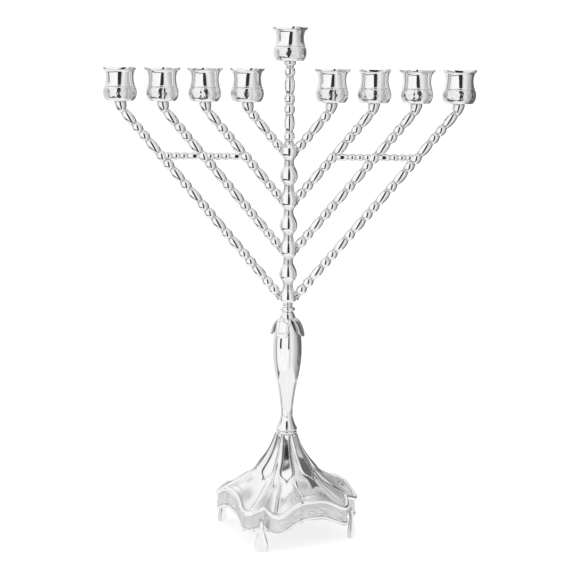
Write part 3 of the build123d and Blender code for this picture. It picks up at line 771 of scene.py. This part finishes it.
def make_base():
    """Draped base: dome, rolled band, chased apron and the hollow behind them, in one skin."""
    angle = np.linspace(-pi, pi, BASE_COLUMNS, endpoint=False)
    off = (angle + pi / 4) % (pi / 2) - pi / 4
    away = np.degrees(np.abs(off))
    overlap = (np.degrees(angle) - 36) / 90 % 1
    swirl = 1.1 * overlap ** 2 * (1 - soft_step(overlap, 0.965, 1.0))
    corner = 0.5 * (1 + np.cos(4 * angle))

    edge_r = 44.9 + 7.1 * hill(away - 13, 12) + swirl
    roll_z = 34.0 - 8.4 * hill(away - 13, 14) - 0.9 * hill(away, 3.5) + 0.6 * swirl
    hem_z = 20.4 - 7.8 * hill(away - 12, 14.5)
    roll_r = edge_r - ROLL_R

    rows, tarnish_and_painted_shade_rings = [], []

    def add(radius, z, tarnish_and_painted_shade):
        """One more ring of the skin, from the top outwards, down and back inside."""
        rows.append(about_z(radius, angle + BASE_TURN, z))
        tarnish_and_painted_shade_rings.append(np.broadcast_to(tarnish_and_painted_shade, angle.shape))

    add(ROD_HOLE_R, bottom("collar_ring"), 0.2)
    add(DOME_TOP_R - 0.3, bottom("collar_ring"), 0.2)
    dome_end_r = roll_r - 0.55 * ROLL_R
    dome_end_z = roll_z + 0.83 * ROLL_R
    miss = dome_end_z - drape_height(dome_end_r, corner)
    for share in np.linspace(0, 1, DOME_ROWS):
        radius = DOME_TOP_R + (dome_end_r - DOME_TOP_R) * share ** 1.25
        z = drape_height(radius, corner) + miss * soft_step(share, 0.55, 1.0)
        lift, shade_lines_and_tarnish = drape_relief(radius, off)
        lift = lift * soft_step(share, 0.0, 0.03) * (1 - 0.5 * soft_step(share, 0.93, 1.0))
        # painted shade: a dark line in the crease between dome and rolled band, and one in the shallow groove
        # near the edge between the corners
        margin = hill(share - 0.90, 0.012) * soft_step(away, 32, 38)
        crease = soft_step(share, 0.975, 1.0)
        add(radius + 0.7 * lift, z + 0.7 * lift - 0.2 * margin,
            shade_lines_and_tarnish * (1 - crease) + 1.7 * crease + 0.9 * margin)
    for turn in np.radians(np.linspace(118, -88, ROLL_ROWS)):
        add(roll_r + ROLL_R * np.cos(turn), roll_z + ROLL_R * np.sin(turn),
            # painted shade on the underside of the rolled band
            1.4 * soft_step(-np.sin(turn), 0.75, 1.0))
    apron_r = edge_r - APRON_INSET
    apron_top = roll_z - ROLL_R * 0.98
    run = np.cumsum(np.hypot(np.diff(apron_r, append=apron_r[:1]), apron_r * 2 * pi / BASE_COLUMNS))
    tall = apron_top - hem_z
    halfway = away - 45
    for share in np.linspace(0, 1, APRON_ROWS):
        z = apron_top + (hem_z + 0.5 - apron_top) * share
        up = (0.5 - share) * 10.0
        relief = chasing(run, up + 0.2, run[-1] / APRON_FLOWERS, 7.4)
        relief = relief * (1 - soft_step(np.abs(up + 0.2), 3.0, 3.6)) * (1 - hill(halfway, 7))
        relief = relief * soft_step(away, 5, 14)
        lens = hill(np.hypot(halfway / 6.5, (up + 0.3) / 2.4) - 1, 0.22)
        lens = np.maximum(lens, hill(np.hypot(halfway / 2.6, up + 0.3), 0.8))
        relief = np.maximum(relief, lens * soft_step(away, 33, 36))
        over_hem = (1 - share) * tall
        add(apron_r - 0.35 + 0.9 * share ** 2 + 0.17 * relief + 0.27 * hill(over_hem - 1.6, 0.42), z,
            # tarnish with painted shade over the apron, darkest in the hollows between the chased flowers and
            # in the line above the hem
            (0.6 + 0.5 * np.clip(1 - relief, 0, 1)) * soft_step(over_hem, 0.8, 2.4)
            + 0.9 * hill(over_hem - 2.3, 0.3))
    hem_r = apron_r + 0.55
    for outward, rise in ((0.15, 0.15), (-0.25, 0.0), (-0.85, 0.0), (-1.25, 0.3)):
        add(hem_r + outward, hem_z + rise, 0.2)
    for share in np.linspace(0, 1, 8):
        add(hem_r - 1.4 - 0.5 * share, hem_z + 0.7 + (roll_z - hem_z - 0.7) * share, INSIDE_TARNISH_AND_SHADE)
    rim_r, neck_r = edge_r - 3.4, 7.4 - SHELL
    for share in np.linspace(0, 1, 40)[1:]:
        radius = rim_r + (neck_r - rim_r) * share
        under = np.minimum(drape_height(radius + SHELL, corner) - 1.8, HOLLOW_TOP_Z)
        inward = soft_step(share, -0.2, 0.12)
        add(radius, under * inward + roll_z * (1 - inward), INSIDE_TARNISH_AND_SHADE)
    add(ROD_HOLE_R, HOLLOW_TOP_Z, INSIDE_TARNISH_AND_SHADE)
    piece = skin("base_shell_draped", np.array(rows + rows[:1]), CHASED, np.vstack(tarnish_and_painted_shade_rings + tarnish_and_painted_shade_rings[:1]),
                 closed=False)
    stand_in_for(piece, "base_shell")


def make_foot(node):
    """Leaf-shaped foot: a narrow neck on the apron widening to a smooth rounded pad on the table."""
    middle = centre(node)
    turn = atan2(middle.y, middle.x)
    levels = curve_through([        # height, half width, half thickness
        (0.0, 3.3, 1.7), (0.5, 4.2, 2.2), (1.8, 4.9, 2.6), (4.0, 5.2, 2.7), (7.0, 4.8, 2.35),
        (10.5, 3.7, 1.95), (14.0, 2.4, 1.6), (17.5, 1.45, 1.35), (20.6, 1.15, 1.2), (22.0, 0.7, 0.8),
    ], 6)
    phase = full_turn(FOOT_COLUMNS)
    front = np.sign(np.cos(phase)) * np.abs(np.cos(phase)) ** 0.7
    side = np.sign(np.sin(phase)) * np.abs(np.sin(phase)) ** 0.8
    rings = []
    for z, half, thick in levels:
        reach = FOOT_REACH + 0.4 - 0.02 * z + thick * front
        x = reach * cos(turn) - half * side * sin(turn)
        y = reach * sin(turn) + half * side * cos(turn)
        rings.append(np.stack([x, y, np.full_like(x, z)], axis=-1))
    # darker along the foot's two side edges, painted into the colour
    edge = 0.8 * soft_step(np.abs(side), 0.8, 1.0)
    piece = skin(f"{node}_leaf", np.array(rings), POLISHED, edge[None, :])
    stand_in_for(piece, node)


# ---- make everything ----------------------------------------------------------------------------
for branch_number in range(1, 2 * PAIRS + 1):
    make_branch(branch_number)
for bar_side in (-1, 1):
    make_tie_bar(bar_side, 3, "outer")
    make_tie_bar(bar_side, 2, "inner")
make_column()
make_cups()
make_vase()
make_collar()
make_calyx()
make_base()
for foot_node in ("foot_front", "foot_right", "foot_back", "foot_left"):
    make_foot(foot_node)
for node_name, node_object in frame["nodes"].items():
    if "screw" in node_name or node_name in ("tie_rod", "rod_nut", "rod_washer"):
        node_object.data.materials.clear()
        node_object.data.materials.append(STEEL)


# ---- table, light tent and camera ----------------------------------------------------------------
def sheet(name, corners, colour, glow):
    """One-faced sheet of the studio, matt, with a faintly clouded colour and its own glow."""
    mesh = bpy.data.meshes.new(name)
    mesh.from_pydata(corners, [], [(0, 1, 2, 3)])
    mesh.materials.append(plain_glow(name, colour, glow))
    piece = bpy.data.objects.new(name, mesh)
    bpy.context.scene.collection.objects.link(piece)
    return piece


def plain_glow(name, colour, strength):
    """Matt material with a faintly clouded colour and its own glow."""
    material = bpy.data.materials.new(name)
    tree, shader = node_tree(material)
    shader.inputs["Roughness"].default_value = 0.8
    shader.inputs["Specular IOR Level"].default_value = 0
    shader.inputs["Emission Color"].default_value = (1, 1, 1, 1)
    shader.inputs["Emission Strength"].default_value = strength
    tint = tree.nodes.new("ShaderNodeMix")
    tint.data_type = "RGBA"
    tint.inputs["A"].default_value = (colour * 0.97, colour * 0.97, colour * 0.97, 1)
    tint.inputs["B"].default_value = (colour, colour, colour, 1)
    tree.links.new(noise(tree, 30, 3), tint.inputs["Factor"])
    tree.links.new(tint.outputs["Result"], shader.inputs["Base Color"])
    return material


def level_square(half):
    """Corners of a square on the floor about the origin."""
    return [(-half, -half, 0), (half, -half, 0), (half, half, 0), (-half, half, 0)]


def make_table():
    """White floor for the eye; reflections see a grey plinth, a white card in front and a dark flag."""
    floor = sheet("pale_floor", level_square(8.0), 0.8, 0.55)
    floor.visible_glossy = False
    plinth = sheet("plinth", level_square(0.21), 0.7, 0.2)
    y, left, right, high = -0.12, -0.03, 0.035, 0.12
    card = sheet("white_card", [(left, y, 0), (right, y, 0), (right, y, high), (left, y, high)], 0.8, 0.28)
    x, near, rear, low, high = 0.27, 0.03, 0.22, 0.03, 0.43
    flag = sheet("dark_flag", [(x, near, low), (x, rear, low), (x, rear, high), (x, near, high)], 0.12, 0.02)
    for piece in (plinth, card, flag):
        piece.visible_camera = False
        piece.visible_shadow = False
        piece.visible_diffuse = False


def grey_ramp(tree, source, low, high, stops):
    """Smooth grey ramp over (value, grey) stops of a source."""
    ramp = tree.nodes.new("ShaderNodeValToRGB")
    ramp.color_ramp.interpolation = "EASE"
    elements = ramp.color_ramp.elements
    for value, grey in stops:
        element = elements.new((value - low) / (high - low))
        element.color = (grey, grey, grey, 1)
    elements.remove(elements[0])
    elements.remove(elements[-1])
    tree.links.new(ranged_line(tree, source, low, high), ramp.inputs["Fac"])
    return ramp.outputs["Color"]


def window(tree, source, low, high, soft):
    """1 between low and high, 0 outside, with soft edges."""
    rising = ranged(tree, source, low - soft, low + soft, 0, 1)
    return math_node(tree, "MULTIPLY", rising, ranged(tree, source, high - soft, high + soft, 1, 0))


def blend_grey(tree, factor, first, second):
    """Mix of two colours; second may be one grey."""
    mix = tree.nodes.new("ShaderNodeMix")
    mix.data_type = "RGBA"
    tree.links.new(factor, mix.inputs["Factor"])
    tree.links.new(first, mix.inputs["A"])
    if isinstance(second, float):
        mix.inputs["B"].default_value = (second, second, second, 1)
    else:
        tree.links.new(second, mix.inputs["B"])
    return mix.outputs["Result"]


def make_world():
    """Inside of a light tent: a white wall on the left, its slit ahead, a falling-off wall on the right."""
    world = bpy.data.worlds.new("light_tent")
    bpy.context.scene.world = world
    world.use_nodes = True
    tree = world.node_tree
    tree.nodes.clear()
    place = tree.nodes.new("ShaderNodeTexCoord")
    split = tree.nodes.new("ShaderNodeSeparateXYZ")
    tree.links.new(place.outputs["Generated"], split.inputs["Vector"])
    ahead = math_node(tree, "MULTIPLY", split.outputs["Y"], -1.0)
    bearing = math_node(tree, "MULTIPLY", math_node(tree, "ARCTAN2", split.outputs["X"], ahead), 180 / pi)
    rise = tree.nodes.new("ShaderNodeMath")
    rise.operation = "ARCSINE"
    tree.links.new(split.outputs["Z"], rise.inputs[0])
    height = math_node(tree, "MULTIPLY", rise.outputs["Value"], 180 / pi)

    tent = grey_ramp(tree, bearing, -180, 180, TENT_WALLS)
    left_high = math_node(tree, "MULTIPLY", window(tree, bearing, -172, -70, 8),
                          ranged(tree, height, 8, 22, 0, 1))
    tent = blend_grey(tree, left_high, tent, 1.0)
    tent = blend_grey(tree, ranged(tree, height, TENT_EAVES - 3, TENT_EAVES + 3, 0, 1), tent,
                      grey_ramp(tree, bearing, -180, 180, TENT_ROOF))
    right_high = math_node(tree, "MULTIPLY", window(tree, bearing, 80, 165, 8),
                           ranged(tree, height, 16, 28, 0, 1))
    tent = blend_grey(tree, right_high, tent, 0.66)
    slit = math_node(tree, "MULTIPLY", window(tree, bearing, *SLIT_BEARINGS, 3),
                     window(tree, height, *SLIT_HEIGHTS, 2))
    tent = blend_grey(tree, slit, tent, 0.03)
    falling = math_node(tree, "ADD", height, math_node(tree, "MULTIPLY", bearing, SEAM_TILT))
    seam = math_node(tree, "MULTIPLY", window(tree, bearing, -95, 10, 4),
                     window(tree, falling, *SEAM_HEIGHTS, 1.5))
    tent = blend_grey(tree, seam, tent, 0.08)
    sloped = math_node(tree, "ADD", height, math_node(tree, "MULTIPLY", bearing, SILL_TILT))
    tent = blend_grey(tree, ranged(tree, sloped, FLOOR_HEIGHT - 2, FLOOR_HEIGHT + 2, 1, 0), tent, 0.95)
    sill = math_node(tree, "MULTIPLY", window(tree, bearing, -98, 10, 5),
                     window(tree, sloped, *SILL_HEIGHTS, 2))
    tent = blend_grey(tree, sill, tent, 0.04)

    seen = tree.nodes.new("ShaderNodeBackground")
    seen.inputs["Color"].default_value = (1, 1, 1, 1)
    seen.inputs["Strength"].default_value = 1.1
    inside = tree.nodes.new("ShaderNodeBackground")
    tree.links.new(tent, inside.inputs["Color"])
    ray = tree.nodes.new("ShaderNodeLightPath")
    mix = tree.nodes.new("ShaderNodeMixShader")
    output = tree.nodes.new("ShaderNodeOutputWorld")
    tree.links.new(ray.outputs["Is Camera Ray"], mix.inputs["Fac"])
    tree.links.new(inside.outputs["Background"], mix.inputs[1])
    tree.links.new(seen.outputs["Background"], mix.inputs[2])
    tree.links.new(mix.outputs["Shader"], output.inputs["Surface"])


def make_camera():
    """Camera in front of the column."""
    data = bpy.data.cameras.new("camera")
    data.sensor_width = 36
    data.lens = CAMERA_LENS
    data.clip_start = 0.05
    camera = bpy.data.objects.new("camera", data)
    bpy.context.scene.collection.objects.link(camera)
    camera.location = CAMERA_AT
    look = (Vector(CAMERA_AIM) - camera.location).to_track_quat("-Z", "Y").to_matrix()
    camera.rotation_euler = (look @ Matrix.Rotation(CAMERA_ROLL, 3, "Z")).to_euler()
    bpy.context.scene.camera = camera


make_table()
make_world()
make_camera()
bpy.context.scene.view_settings.view_transform = "Standard"
